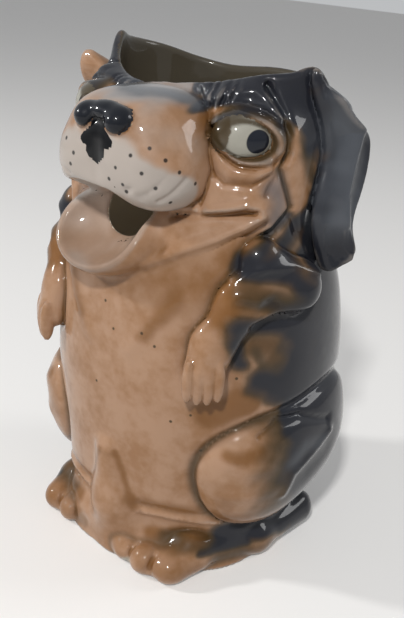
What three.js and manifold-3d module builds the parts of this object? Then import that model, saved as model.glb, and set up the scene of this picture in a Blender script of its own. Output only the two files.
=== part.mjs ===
// A glazed porcelain pitcher in the shape of a seated dog with its mouth open to pour.
// Millimetres, +Z up, the origin under the middle of the foot. The dog faces -Y and its left side is +X.
import * as THREE from 'three';
import { mergeVertices } from 'three/addons/utils/BufferGeometryUtils.js';
import Module from 'manifold-3d';

const wasm = await Module();
wasm.setup();

// The vessel: the neck is where the head's casting stands on the body's
const neckHeight = 118;
const headHeight = 58.5;
const bodyHalfWidth = 50.5;
const bodyHalfDepth = 50;
const wall = 3.2;
const floorThickness = 4.5;
const seam = 0.3;
const rimFall = 16;
const boreOverrun = 8;

// The plinth that spreads from the bottom of the body, and the foot plate inside it
const plinthSpreadAcross = 2.1;
const plinthSpreadAlong = 3.5;
const plinthForward = 2;
const plinthHeight = 12;
const footInset = 2;
const plinthBlend = 5;

// Pieces on the vessel are placed by a turn in degrees round from the front, by their height, on the head by
// their rise over the neck, and by how far their middle lies inside the vessel's side or stands out from it.
// The cheeks and brows, on the sides of the head
const cheekAngle = 61.1;
const cheekRise = 20;
const cheekInset = 18;
const cheekHalfWidth = 22;
const cheekHalfDepth = 20;
const cheekHalfHeight = 19;
const browAngle = 53.4;
const browRise = 34;
const browInset = 10.4;
const browHalfWidth = 18;
const browHalfDepth = 17;
const browHalfHeight = 14;
const cheekBlend = 7;

// The muzzle
const muzzleRise = 32.5;
const muzzleInset = -0.9;
const muzzleHalfWidth = 21.5;
const muzzleHalfDepth = 24.5;
const muzzleHalfHeight = 15;
const lipOut = 10.6;
const lipAside = 0.7;
const lipAhead = 5;
const lipDrop = 7.2;
const lipHalfWidth = 13.8;
const lipHalfDepth = 19;
const lipHalfHeight = 12.8;
const lipBlend = 5;

// The nose, on the front of the muzzle
const noseInset = 4.5;
const noseRise = 9.3;
const noseAside = 0.5;
const noseHalfWidth = 7;
const noseHalfDepth = 4.6;
const noseHalfHeight = 3.2;
const wingOut = 6.6;
const wingDrop = 2.2;
const wingAngle = 12;
const wingHalfWidth = 4.2;
const wingHalfDepth = 5.8;
const wingHalfHeight = 4.3;
const noseBlend = 2;

// The lower jaw, the trough in it and the passage from the trough into the jug
const jawRise = 2.5;
const jawInset = 5.8;
const jawAside = -6;
const jawHalfWidth = 21;
const jawHalfDepth = 21.5;
const jawHalfHeight = 12;
const jawDroop = 24;
const troughAhead = 18;
const troughRise = 4;
const troughHalfWidth = 17.4;
const troughHalfDepth = 17.5;
const troughHalfHeight = 12.4;
const passageRise = 10;
const passageClimb = 3;
const passageAhead = 9;
const passageBehind = 25;
const passageRadius = 9;

// The eyes
const eyeRise = 36.6;
const eyeAngle = 44.5;
const eyeProud = 3.6;
const eyeHalfWidth = 9.6;
const eyeHalfDepth = 6.6;
const eyeHalfHeight = 7.2;

// The ears, slabs on the sides of the head; the right one sits higher, its front edge swung out and down
const earHeight = 64;
const earWidth = 37;
const earDrop = 1;
const earFront = 21;
const earInset = 1.5;
const earFlare = 7;
const earThickness = 8.5;
const earEdge = 3;
const earFoldHeight = 3.2;
const earFoldWidth = 3.2;
const earFrontDepth = 4.5;
const earFrontWidth = 7;
const rightEarRise = 2;
const rightEarSwing = 18;
const rightEarDip = 22;

// The forelegs: shoulder, elbow, the crook of the arm, wrist and paw, each at its drop below the neck
const shoulderAngle = 62;
const shoulderDrop = 1;
const shoulderRadius = 8.5;
const elbowAngle = 78;
const elbowDrop = 11;
const elbowRadius = 9.5;
const crookAngle = 53;
const crookDrop = 14;
const crookRadius = 8.6;
const armInset = 3;
const wristAngle = 42;
const wristDrop = 27;
const wristRadius = 7;
const pawAngle = 39;
const pawDrop = 35;
const pawRadius = 6.6;
const wristInset = 1.5;
const pawProud = 1.2;
const fingersProud = 3.4;
const fingersHalfWidth = 7;
const fingersHalfDepth = 3.4;
const fingersHalfHeight = 10.8;
const legBlend = 4;

// The haunches
const haunchAngle = 86.9;
const haunchUp = 45;
const haunchInset = 18.5;
const haunchHalfWidth = 25;
const haunchHalfDepth = 38.5;
const haunchHalfHeight = 30;
const haunchTilt = 14;

// The hind feet: heel, arch, instep, the inside of the foot and three toes
const heelAngle = 111.6;
const archAngle = 75;
const archInset = 3;
const soleUp = 6.5;
const soleRadius = 7.5;
const instepAngle = 39.6;
const instepUp = 7;
const instepInset = 0.9;
const instepRadius = 8.5;
const insideAngle = 25.8;
const insideInset = 4.5;
const toeAngle = 22.6;
const toeUp = 4.8;
const toeProud = 5;
const toeSpread = 9.4;
const toeSetBack = 1.6;
const toeHalfWidth = 6.4;
const toeHalfLength = 7.8;
const toeHalfHeight = 6;
const toeBlend = 4;
const rightFootBack = 4.5;
const rightFootOut = 3;

// The tail, lying up the front of the belly
const tailRootInset = 7.5;
const tailRootAside = 3;
const tailRootRadius = 14;
const tailMidInset = 4.2;
const tailMidUp = 20;
const tailMidRadius = 9.5;
const tailTipInset = 1.9;
const tailTipAside = -2;
const tailTipUp = 41;
const tailTipRadius = 4.8;
const tailBlend = 6;

// The handle, a loop at the back
const handleHeight = 80;
const handleReach = 32;
const handleRise = 34;
const handleRootInset = 1.5;
const handleHalfWidth = 7;
const handleHalfThickness = 4.8;

// How closely the pieces follow their curves
const bodySides = 40;
const bellySteps = 13;
const headSides = 56;
const headSteps = 12;
const boreSides = 28;
const boreSteps = 9;
const fineSteps = 6;
const coarseSteps = 4;
const handleSteps = 20;
const handleSides = 6;
const halvings = 26;
const reachShare = 1.5;

// The body's outline: height up the jug, half-width, half-depth, and how far back its middle lies
const barrelShares = [
  [0.00, 0.81, 0.83, 0.00],
  [0.08, 0.85, 0.88, 0.01],
  [0.17, 0.92, 0.94, 0.035],
  [0.28, 0.98, 0.98, 0.035],
  [0.42, 1.00, 1.00, 0.01],
  [0.54, 0.97, 0.955, -0.03],
  [0.635, 0.91, 0.87, -0.07],
  [0.71, 0.865, 0.80, -0.08],
  [0.79, 0.86, 0.745, -0.03],
  [0.86, 0.87, 0.70, 0.05],
  [0.94, 0.88, 0.655, 0.12],
  [1.10, 0.89, 0.63, 0.16],
];
const squarenessShare = 2.25;
const muzzleSquarenessShare = 2.7;
const lipSquarenessShare = 2.4;
const haunchSquarenessShare = 2.4;

// The rim: degrees round from the front towards the dog's left, and how far it falls below the top
const rimShares = [
  [0, 0.64], [21, 0.55], [37, 0.42], [51, 0.27], [62, 0.2], [72, 0.07], [82, 0.5], [93, 0.84],
  [107, 0.97], [128, 0.88], [153, 0.66], [180, 0.6], [215, 0.69], [234, 0.66], [252, 0.5],
  [262, 0.36], [278, 0.12], [287, 0], [296, 0.3], [308, 0.54], [321, 0.69], [334, 0.74], [353, 0.65],
];

// The left ear seen from the side: share of its width back from the front, share of its height down
const earShares = [
  [0.34, -0.02], [0.42, 0.06], [0.58, 0.17], [0.72, 0.25], [0.94, 0.29], [1.05, 0.35], [1.05, 0.46],
  [0.96, 0.6], [0.78, 0.75], [0.76, 0.9], [0.65, 1], [0.52, 1.02], [0.42, 0.88], [0.36, 0.75],
  [0.38, 0.59], [0.5, 0.44], [0.42, 0.27], [0.32, 0.15], [0.28, 0.04],
];
const earCentreShares = [0.72, 0.45];
const earFoldShares = [[0.55, 0.14], [0.76, 0.3], [0.68, 0.46], [0.58, 0.6], [0.6, 0.78], [0.7, 0.93]];
const earFrontShares = [
  [0.34, 0], [0.3, 0.15], [0.4, 0.27], [0.48, 0.44], [0.36, 0.59], [0.34, 0.75], [0.44, 0.95],
];

// The handle's centre line: share of its reach out from the root, share of its height down
const handleShares = [
  [-0.25, 0.1], [0.1, 0.06], [0.5, 0], [0.86, 0.1], [1, 0.32], [0.97, 0.56], [0.72, 0.8], [0.3, 0.96],
  [-0.1, 1.04],
];

const halfCircle = THREE.MathUtils.radToDeg(Math.PI);
const fullCircle = halfCircle * 2;

// Forms: each takes a point and gives its distance from a surface, negative inside
const smooth = (a, b, blend) => {
  const share = Math.max(blend - Math.abs(a - b), 0) / blend;
  return Math.min(a, b) - share * share * blend / 4;
};

function join(blend, ...forms) {
  return (p) => forms.map((form) => form(p)).reduce((a, b) => smooth(a, b, blend));
}

// Distance from an oval whose half sizes are given; a power above 2 squares it off
function oval(offsets, halves, power = 2) {
  const shares = offsets.map((offset, k) => Math.abs(offset) / halves[k]);
  const near = shares.reduce((sum, share) => sum + share ** power, 0) ** (1 / power);
  if (near === 0) return -Math.min(...halves);
  const steep = Math.hypot(...shares.map((share, k) => share ** (power - 1) / halves[k]));
  return (near - 1) / (steep * near ** (1 - power));
}

function lump(centre, half, { turn = 0, tilt = 0, power = 2 } = {}) {
  const angles = new THREE.Euler(THREE.MathUtils.degToRad(tilt), 0, THREE.MathUtils.degToRad(turn), 'ZYX');
  const back = new THREE.Quaternion().setFromEuler(angles).invert();
  return (p) => oval(p.clone().sub(centre).applyQuaternion(back).toArray(), half.toArray(), power);
}

function limb(from, to, fromRadius, toRadius) {
  const along = to.clone().sub(from);
  return (p) => {
    const offset = p.clone().sub(from);
    const share = THREE.MathUtils.clamp(offset.dot(along) / along.lengthSq(), 0, 1);
    const radius = THREE.MathUtils.lerp(fromRadius, toRadius, share);
    return offset.addScaledVector(along, -share).length() - radius;
  };
}

// Reads a table of shares at a place along its first column, on a smooth curve through its rows
function readShares(table, at) {
  const last = table.length - 1;
  const found = table.findIndex((row) => row[0] > at);
  const index = found < 0 ? last - 1 : Math.max(found - 1, 0);
  const [a, b] = [table[index], table[index + 1]];
  const before = table[Math.max(index - 1, 0)];
  const after = table[Math.min(index + 2, last)];
  const span = b[0] - a[0];
  const t = THREE.MathUtils.clamp((at - a[0]) / span, 0, 1);
  return a.map((value, c) => {
    const slopeA = (b[c] - before[c]) / (b[0] - before[0]) * span;
    const slopeB = (after[c] - a[c]) / (after[0] - a[0]) * span;
    return (2 * t ** 3 - 3 * t ** 2 + 1) * value + (t ** 3 - 2 * t ** 2 + t) * slopeA
      + (3 * t ** 2 - 2 * t ** 3) * b[c] + (t ** 3 - t ** 2) * slopeB;
  });
}

const size = (width, depth, height) => new THREE.Vector3(width, depth, height);
const moved = (from, right, ahead, up) => from.clone().add(new THREE.Vector3(right, -ahead, up));

// The vessel's outline at each height, and the middle of it
const jugHeight = neckHeight + headHeight;
const barrelMiddle = (z) => readShares(barrelShares, z / jugHeight)[3] * bodyHalfDepth;

function barrelHalves(z) {
  const [, width, depth] = readShares(barrelShares, z / jugHeight);
  return [width * bodyHalfWidth, depth * bodyHalfDepth];
}

const barrel = (p) => oval([p.x, p.y - barrelMiddle(p.z)], barrelHalves(p.z), squarenessShare);

// A place so many degrees round the vessel from the front and so high up, inside its side by the inset
function on(side, turn, up, inset = 0) {
  const round = THREE.MathUtils.degToRad(turn);
  const [halfWidth, halfDepth] = barrelHalves(up);
  const [across, ahead] = [Math.sin(round), Math.cos(round)];
  const shares = [across / halfWidth, ahead / halfDepth];
  const near = shares.reduce((sum, share) => sum + Math.abs(share) ** squarenessShare, 0);
  const reach = near ** (-1 / squarenessShare) - inset;
  return new THREE.Vector3(side * across * reach, barrelMiddle(up) - ahead * reach, up);
}

const fromNeck = (side, turn, rise, inset) => on(side, turn, neckHeight + rise, inset);

const [bottomHalfWidth, bottomHalfDepth] = barrelHalves(0);
const plinthHalves = [bottomHalfWidth + plinthSpreadAcross, bottomHalfDepth + plinthSpreadAlong];
const plinthSide = (p) => oval([p.x, p.y + plinthForward], plinthHalves, squarenessShare);
const plinth = (p) => -smooth(-plinthSide(p), plinthHeight - p.z, plinthBlend);
const footPlate = (p) => plinthSide(p) + footInset;

const bellyForm = join(plinthBlend, barrel, plinth);

const cheekHalf = size(cheekHalfWidth, cheekHalfDepth, cheekHalfHeight);
const browHalf = size(browHalfWidth, browHalfDepth, browHalfHeight);
const headForm = join(
  cheekBlend,
  barrel,
  ...[1, -1].flatMap((side) => [
    lump(fromNeck(side, cheekAngle, cheekRise, cheekInset), cheekHalf),
    lump(fromNeck(side, browAngle, browRise, browInset), browHalf),
  ]),
);

const muzzleCentre = fromNeck(1, 0, muzzleRise, muzzleInset);
const muzzleHalf = size(muzzleHalfWidth, muzzleHalfDepth, muzzleHalfHeight);
const muzzleForm = join(
  lipBlend,
  lump(muzzleCentre, muzzleHalf, { power: muzzleSquarenessShare }),
  ...[1, -1].map((side) => lump(
    moved(muzzleCentre, side * lipOut + lipAside, lipAhead, -lipDrop),
    size(lipHalfWidth, lipHalfDepth, lipHalfHeight),
    { power: lipSquarenessShare },
  )),
);

const noseCentre = moved(muzzleCentre, noseAside, muzzleHalfDepth - noseInset, noseRise);
const noseForm = join(
  noseBlend,
  lump(noseCentre, size(noseHalfWidth, noseHalfDepth, noseHalfHeight)),
  ...[1, -1].map((side) => lump(
    moved(noseCentre, side * wingOut, 0, -wingDrop),
    size(wingHalfWidth, wingHalfDepth, wingHalfHeight),
    { turn: -side * wingAngle },
  )),
);

const jawCentre = moved(fromNeck(1, 0, jawRise, jawInset), jawAside, 0, 0);
const jawHalf = size(jawHalfWidth, jawHalfDepth, jawHalfHeight);
const jawForm = lump(jawCentre, jawHalf, { tilt: jawDroop });

const troughCentre = moved(jawCentre, 0, troughAhead, troughRise);
const troughHalf = size(troughHalfWidth, troughHalfDepth, troughHalfHeight);
const troughForm = lump(troughCentre, troughHalf, { tilt: jawDroop });

const passageStart = moved(fromNeck(1, 0, passageRise), 0, passageAhead, 0);
const passageEnd = moved(fromNeck(1, 0, passageRise), 0, -passageBehind, passageClimb);
const passageForm = limb(passageStart, passageEnd, passageRadius, passageRadius);

const eyeCentre = (side) => fromNeck(side, eyeAngle, eyeRise, -eyeProud);
const eyeForm = (side) => (
  lump(eyeCentre(side), size(eyeHalfWidth, eyeHalfDepth, eyeHalfHeight), { turn: side * eyeAngle })
);

// Signed distance from a closed outline of points in a plane
function outline(points, at) {
  let nearest = Infinity;
  let inside = false;
  points.forEach((b, i) => {
    const a = points[(i + points.length - 1) % points.length];
    const edge = a.clone().sub(b);
    const share = THREE.MathUtils.clamp(at.clone().sub(b).dot(edge) / edge.lengthSq(), 0, 1);
    nearest = Math.min(nearest, at.distanceTo(b.clone().addScaledVector(edge, share)));
    const crosses = (a.y > at.y) !== (b.y > at.y);
    if (crosses && at.x < b.x + (at.y - b.y) * edge.x / edge.y) inside = !inside;
  });
  return inside ? -nearest : nearest;
}

const earTop = jugHeight - earDrop;
const earOut = on(1, halfCircle / 2, earTop, earInset).x;
const earPoint = ([back, down]) => new THREE.Vector2(back * earWidth - earFront, earTop - down * earHeight);
const earCurve = (shares) => new THREE.SplineCurve(shares.map(earPoint)).getPoints(shares.length * 2);
const earOutline = earCurve(earShares);
const earFold = earCurve(earFoldShares);
const earFrontLine = earCurve(earFrontShares);

// A ridge that runs along a line, highest on it
function crest(line, at, width, height) {
  const nearest = Math.min(...line.map((point) => point.distanceTo(at)));
  return height * Math.exp(-((nearest / width) ** 2));
}

// Share of an ear's width that lies between a place and the ear's rear edge, and what follows from it
const earAhead = (y) => (earWidth - earFront - y) / earWidth;
const earRise = (side, y) => (side < 0 ? rightEarRise - rightEarDip * earAhead(y) ** 3 : 0);
const earSwing = (side, y) => (side < 0 ? rightEarSwing * earAhead(y) : 0);

// How far out the middle of an ear's thickness lies
function earMiddle(side, at) {
  return earOut + earFlare * (earTop - at.y) / earHeight + earSwing(side, at.x);
}

function earForm(side) {
  return (p) => {
    const at = new THREE.Vector2(p.y, p.z - earRise(side, p.y));
    const relief = crest(earFold, at, earFoldWidth, earFoldHeight)
      - crest(earFrontLine, at, earFrontWidth, earFrontDepth);
    const across = side * p.x - earMiddle(side, at);
    const slab = Math.max(-across - earThickness / 2, across - earThickness / 2 - relief);
    return -smooth(-outline(earOutline, at), -slab, earEdge);
  };
}

const shoulder = (side) => fromNeck(side, shoulderAngle, -shoulderDrop, armInset);
const elbow = (side) => fromNeck(side, elbowAngle, -elbowDrop, armInset);
const crook = (side) => fromNeck(side, crookAngle, -crookDrop, armInset);
const wrist = (side) => fromNeck(side, wristAngle, -wristDrop, wristInset);
const paw = (side) => fromNeck(side, pawAngle, -pawDrop, -pawProud);

const upperArmForm = (side) => limb(shoulder(side), elbow(side), shoulderRadius, elbowRadius);

const forearmForm = (side) => join(
  legBlend,
  limb(elbow(side), crook(side), elbowRadius, crookRadius),
  limb(crook(side), wrist(side), crookRadius, wristRadius),
  limb(wrist(side), paw(side), wristRadius, pawRadius),
  lump(
    fromNeck(side, pawAngle, -pawDrop, -fingersProud),
    size(fingersHalfWidth, fingersHalfDepth, fingersHalfHeight),
    { turn: side * pawAngle },
  ),
);

const haunchCentre = (side) => on(side, haunchAngle, haunchUp, haunchInset);
const haunchHalf = size(haunchHalfWidth, haunchHalfDepth, haunchHalfHeight);
const haunchForm = (side) => (
  lump(haunchCentre(side), haunchHalf, { tilt: haunchTilt, power: haunchSquarenessShare })
);

const arch = (side) => on(side, archAngle, soleUp, archInset);
const setBack = (side, at) => (side < 0 ? moved(at, -rightFootOut, -rightFootBack, 0) : at);
const instep = (side) => setBack(side, on(side, instepAngle, instepUp, instepInset));

function footForm(side) {
  const inside = setBack(side, on(side, insideAngle, soleUp, insideInset));
  const toe = setBack(side, on(side, toeAngle, toeUp, -toeProud));
  return join(
    toeBlend,
    join(
      legBlend,
      limb(on(side, heelAngle, soleUp), arch(side), soleRadius, soleRadius),
      limb(arch(side), instep(side), soleRadius, instepRadius),
      limb(instep(side), inside, instepRadius, soleRadius),
    ),
    ...[-1, 0, 1].map((step) => lump(
      moved(toe, step * toeSpread, -Math.abs(step) * toeSetBack, 0),
      size(toeHalfWidth, toeHalfLength, toeHalfHeight),
    )),
  );
}

const tailRoot = moved(on(1, 0, 0, tailRootInset), tailRootAside, 0, 0);
const tailMid = on(1, 0, tailMidUp, tailMidInset);
const tailTip = moved(on(1, 0, tailTipUp, tailTipInset), tailTipAside, 0, 0);
const tailForm = join(
  tailBlend,
  limb(tailRoot, tailMid, tailRootRadius, tailMidRadius),
  limb(tailMid, tailTip, tailMidRadius, tailTipRadius),
);

// Solids: meshes for joining and cutting
const bare = (geometry) => {
  geometry.deleteAttribute('normal');
  geometry.deleteAttribute('uv');
  return mergeVertices(geometry);
};

function solid(geometry) {
  const { position } = geometry.attributes;
  return new wasm.Manifold(new wasm.Mesh({
    numProp: 3,
    vertProperties: new Float32Array(position.array),
    triVerts: new Uint32Array(geometry.index.array),
  }));
}

function shape(body) {
  const mesh = body.getMesh();
  const geometry = new THREE.BufferGeometry();
  geometry.setAttribute('position', new THREE.BufferAttribute(mesh.vertProperties, 3));
  geometry.setIndex(new THREE.BufferAttribute(mesh.triVerts, 1));
  geometry.computeVertexNormals();
  return geometry;
}

// Finds by halving how far along a line from inside a form its surface lies
function surface(form, from, to) {
  let inside = 0;
  let outside = 1;
  const at = new THREE.Vector3();
  for (let step = 0; step < halvings; step += 1) {
    const middle = (inside + outside) / 2;
    if (form(at.lerpVectors(from, to, middle)) < 0) inside = middle;
    else outside = middle;
  }
  return at.lerpVectors(from, to, inside);
}

// Draws the skin of a ball in along its radii until it lies on a form, grown all round by a clearance
function wrap(form, centre, half, detail, grow = 0) {
  const ball = bare(new THREE.IcosahedronGeometry(1, detail));
  const skin = ball.attributes.position;
  const grown = (p) => form(p) - grow;
  const reach = half.clone().multiplyScalar(reachShare).addScalar(grow);
  for (let i = 0; i < skin.count; i += 1) {
    const to = new THREE.Vector3().fromBufferAttribute(skin, i).multiply(reach).add(centre);
    skin.setXYZ(i, ...surface(grown, centre, to).toArray());
  }
  return solid(ball);
}

// Draws the side of a drum in towards its axis until it lies on a form, between two heights
function drum(form, bottom, top, around, rows, grow = 0) {
  const cylinder = bare(new THREE.CylinderGeometry(1, 1, 1, around, rows));
  cylinder.rotateX(Math.PI / 2);
  const skin = cylinder.attributes.position;
  const grown = (p) => form(p) - grow;
  const reach = reachShare * Math.max(bodyHalfWidth, bodyHalfDepth);
  for (let i = 0; i < skin.count; i += 1) {
    const [x, y, share] = [skin.getX(i), skin.getY(i), skin.getZ(i) + 1 / 2];
    const z = THREE.MathUtils.lerp(bottom, top(x, y), share);
    const axis = new THREE.Vector3(0, barrelMiddle(z), z);
    const to = axis.clone().add(new THREE.Vector3(x, y, 0).multiplyScalar(reach));
    const onAxis = Math.hypot(x, y) < 1 / 2;
    skin.setXYZ(i, ...(onAxis ? axis : surface(grown, axis, to)).toArray());
  }
  return solid(cylinder);
}

const level = (z) => () => z;

function rimHeight(x, y) {
  if (Math.hypot(x, y) < 1 / 2) return jugHeight - rimFall / 2;
  const turn = THREE.MathUtils.euclideanModulo(THREE.MathUtils.radToDeg(Math.atan2(x, -y)), fullCircle);
  return jugHeight - rimFall * readShares([...rimShares, [fullCircle, rimShares[0][1]]], turn)[1];
}

const plateSolid = (grow = 0) => drum(footPlate, -grow, level(floorThickness + grow), bodySides, 1, grow);
const bellySolid = (grow = 0) => (
  drum(bellyForm, floorThickness + seam - grow, level(neckHeight + grow), bodySides, bellySteps, grow)
);
const headSolid = (grow = 0) => (
  drum(headForm, neckHeight + seam - grow, rimHeight, headSides, headSteps, grow)
);
const boreSolid = (bottom, top) => drum(barrel, bottom, level(top), boreSides, boreSteps, -wall);

const troughSolid = wrap(troughForm, troughCentre, troughHalf, coarseSteps);
const passageSolid = wrap(
  passageForm,
  passageStart.clone().lerp(passageEnd, 1 / 2),
  size(passageRadius, passageAhead + passageBehind, passageRadius),
  coarseSteps,
);

// What already stands in the way of a piece, each grown by the seam that the slip fills
const plateTaken = plateSolid(seam);
const bellyTaken = bellySolid(seam);
const headTaken = headSolid(seam);

const onFloor = (form) => (p) => Math.max(form(p), -p.z);
const cut = (body, ...others) => others.reduce((left, other) => left.subtract(other), body);

const muzzle = (grow = 0) => wrap(muzzleForm, muzzleCentre, muzzleHalf, fineSteps, grow);

function nose() {
  const reach = size(wingOut + wingHalfWidth, wingHalfDepth, wingHalfHeight);
  return cut(wrap(noseForm, noseCentre, reach, coarseSteps), muzzle(seam));
}

function lowerJaw() {
  const body = wrap(jawForm, jawCentre, jawHalf, fineSteps);
  return cut(body, headTaken, bellyTaken, muzzle(seam), troughSolid, passageSolid);
}

function eye(side) {
  const reach = size(eyeHalfWidth, eyeHalfWidth, eyeHalfHeight);
  return cut(wrap(eyeForm(side), eyeCentre(side), reach, coarseSteps), headTaken, muzzle(seam));
}

function upperArm(side, grow = 0) {
  const centre = shoulder(side).lerp(elbow(side), 1 / 2);
  const reach = size(elbowRadius * 2, elbowRadius * 2, elbowRadius * 2);
  return wrap(upperArmForm(side), centre, reach, coarseSteps, grow);
}

function forearm(side, grow = 0) {
  const reach = size(elbowRadius * 2, elbowRadius * 2, pawDrop - elbowDrop + fingersHalfHeight);
  return wrap(forearmForm(side), crook(side), reach, fineSteps, grow);
}

const foreleg = (side) => cut(upperArm(side).add(forearm(side)), bellyTaken, headTaken);

function ear(side) {
  const at = earPoint(earCentreShares);
  const centre = new THREE.Vector3(side * earMiddle(side, at), at.x, at.y + earRise(side, at.x));
  const body = wrap(earForm(side), centre, size(earThickness, earWidth, earHeight / 2), fineSteps);
  return cut(body, headTaken, bellyTaken, upperArm(side, seam), forearm(side, seam));
}

const haunch = (side, grow = 0) => wrap(haunchForm(side), haunchCentre(side), haunchHalf, fineSteps, grow);

function tail(grow = 0) {
  const reach = size(tailRootRadius, tailRootRadius, tailTipUp);
  return wrap(onFloor(tailForm), tailRoot.clone().lerp(tailMid, 1 / 2), reach, coarseSteps, grow);
}

function hindFoot(side) {
  const centre = arch(side).lerp(instep(side), 1 / 2);
  const reach = size(bodyHalfWidth / 2, bodyHalfDepth, soleUp + instepRadius);
  const body = wrap(onFloor(footForm(side)), centre, reach, fineSteps);
  return cut(body, plateTaken, bellyTaken, haunch(side, seam), tail(seam));
}

function handle() {
  const root = fromNeck(1, halfCircle, handleRise, handleRootInset);
  const points = handleShares.map(([out, down]) => (
    moved(root, 0, -out * handleReach, -down * handleHeight)
  ));
  const section = new THREE.Shape().absellipse(0, 0, handleHalfWidth, handleHalfThickness, 0, Math.PI * 2);
  const extrudePath = new THREE.CatmullRomCurve3(points);
  const course = { steps: handleSteps, curveSegments: handleSides, extrudePath };
  return cut(solid(bare(new THREE.ExtrudeGeometry(section, course))), bellyTaken, headTaken);
}

const belly = cut(bellySolid(), boreSolid(floorThickness - boreOverrun, neckHeight + boreOverrun));
const head = cut(
  headSolid(),
  boreSolid(neckHeight - boreOverrun, jugHeight + boreOverrun),
  troughSolid,
  passageSolid,
);

const pink = 0xa98467;
const pale = 0xb9b0a4;
const smoke = 0x4a4f58;
const black = 0x23262b;
const tan = 0x9a7048;
const white = 0xc9c4b6;
const glaze = 0.18;

const pieces = {
  foot_base: [plateSolid(), pink],
  belly_shell: [belly, pink],
  head_shell: [head, tan],
  muzzle: [cut(muzzle(), headTaken, troughSolid), pale],
  nose_pad: [nose(), black],
  lower_jaw: [lowerJaw(), pale],
  left_eye: [eye(1), white],
  right_eye: [eye(-1), white],
  left_ear: [ear(1), smoke],
  right_ear: [ear(-1), smoke],
  left_foreleg: [foreleg(1), tan],
  right_foreleg: [foreleg(-1), tan],
  left_haunch: [cut(haunch(1), bellyTaken, plateTaken), tan],
  right_haunch: [cut(haunch(-1), bellyTaken, plateTaken), tan],
  left_hind_foot: [hindFoot(1), tan],
  right_hind_foot: [hindFoot(-1), tan],
  tail: [cut(tail(), bellyTaken, plateTaken), pink],
  handle: [handle(), smoke],
};

const pitcher = new THREE.Group();
for (const [name, [body, color]] of Object.entries(pieces)) {
  const material = new THREE.MeshStandardMaterial({ color, roughness: glaze, metalness: 0 });
  const mesh = new THREE.Mesh(shape(body), material);
  mesh.name = name;
  pitcher.add(mesh);
}

export default pitcher;
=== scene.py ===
import math
from functools import partialmethod

import bpy
import numpy as np
from mathutils import Matrix, Vector


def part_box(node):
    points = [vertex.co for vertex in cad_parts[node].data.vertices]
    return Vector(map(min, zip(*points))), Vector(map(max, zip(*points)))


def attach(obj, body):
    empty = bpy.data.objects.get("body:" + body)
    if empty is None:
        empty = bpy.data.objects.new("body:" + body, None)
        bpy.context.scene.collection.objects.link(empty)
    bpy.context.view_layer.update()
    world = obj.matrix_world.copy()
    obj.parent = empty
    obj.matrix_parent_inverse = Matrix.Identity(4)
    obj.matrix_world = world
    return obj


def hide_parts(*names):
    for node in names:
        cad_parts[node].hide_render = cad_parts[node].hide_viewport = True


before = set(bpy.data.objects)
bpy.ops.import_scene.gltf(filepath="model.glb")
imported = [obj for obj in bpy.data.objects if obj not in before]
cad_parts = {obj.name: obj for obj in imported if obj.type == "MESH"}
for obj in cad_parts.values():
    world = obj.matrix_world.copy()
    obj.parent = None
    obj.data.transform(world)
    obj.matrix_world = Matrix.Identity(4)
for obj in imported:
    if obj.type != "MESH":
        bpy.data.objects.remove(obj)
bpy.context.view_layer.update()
scene = bpy.context.scene

# The view
# A camera a little above the pitcher, off its left cheek, with the slight lean of a hand-held photograph.
view_turn, view_rise, view_roll = (math.radians(angle) for angle in (36.2, 22.5, 4.67))
view_distance = 0.332
looked_at = Vector((0, 0.0006, 0.0814))
film_height = 36
film_reach = 1.448
nearest_seen = 0.01

camera = bpy.data.cameras.new("camera")
camera.sensor_fit = "VERTICAL"
camera.sensor_height = film_height
camera.lens = film_height * film_reach
camera.clip_start = nearest_seen
watcher = bpy.data.objects.new("camera", camera)
aim = Matrix.Rotation(view_turn, 4, "Z") @ Matrix.Rotation(math.pi / 2 - view_rise, 4, "X")
aim = aim @ Matrix.Rotation(view_roll, 4, "Z")
watcher.matrix_world = Matrix.Translation(looked_at + aim @ Vector((0, 0, view_distance))) @ aim
scene.collection.objects.link(watcher)
scene.camera = watcher

# The body
# A slip-cast porcelain vessel, oval in plan and open at the top, with thin walls and a rounded floor.
# It is sculpted here as forms in millimetres: each takes points and gives their distance from a surface,
# negative inside. Creases and sprayed colours are placed by degrees round from the front and by height.
mm = 0.001
real = np.float32
tiny, least = real(1e-5), real(1e-6)
far = 40
body_half_width = 50.5
body_half_depth = 50
jug_height = 176.5
neck_height = 118
wall = 3.2
floor_thickness = 4.5
unroll_radius = 45
degree_width = math.radians(unroll_radius)
body_squareness = 2.25
# Share of the jug's height, then the half-width, half-depth and set-back of the middle as shares
barrel_shares = np.array([
    (0, 0.81, 0.83, 0), (0.08, 0.85, 0.88, 0.01), (0.17, 0.92, 0.94, 0.035),
    (0.28, 0.98, 0.98, 0.035), (0.42, 1, 1, 0.01), (0.54, 0.97, 0.955, -0.03),
    (0.635, 0.91, 0.87, -0.07), (0.71, 0.865, 0.8, -0.08), (0.79, 0.86, 0.745, -0.03),
    (0.86, 0.87, 0.7, 0.05), (0.94, 0.88, 0.655, 0.12), (1.1, 0.89, 0.63, 0.16),
])


def point(*numbers):
    return np.array(numbers, real)


def on_left(p):
    """Turns the right half over onto the left, for what lies alike on both sides."""
    return np.abs(p) * point(1, 0, 0) + p * point(0, 1, 1)


def smooth(a, b, blend):
    """The nearer of two forms, with a fillet as wide as the blend where they meet."""
    share = np.maximum(blend - np.abs(a - b), 0) / real(blend)
    return np.minimum(a, b) - share * share * real(blend / 4)


def carve(a, b, edge):
    """The first form where the second isn't, with the edge between them rounded."""
    return -smooth(-a, b, edge)


def join(blend, *parts):
    total = parts[0]
    for part in parts[1:]:
        total = smooth(total, part, blend)
    return total


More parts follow.
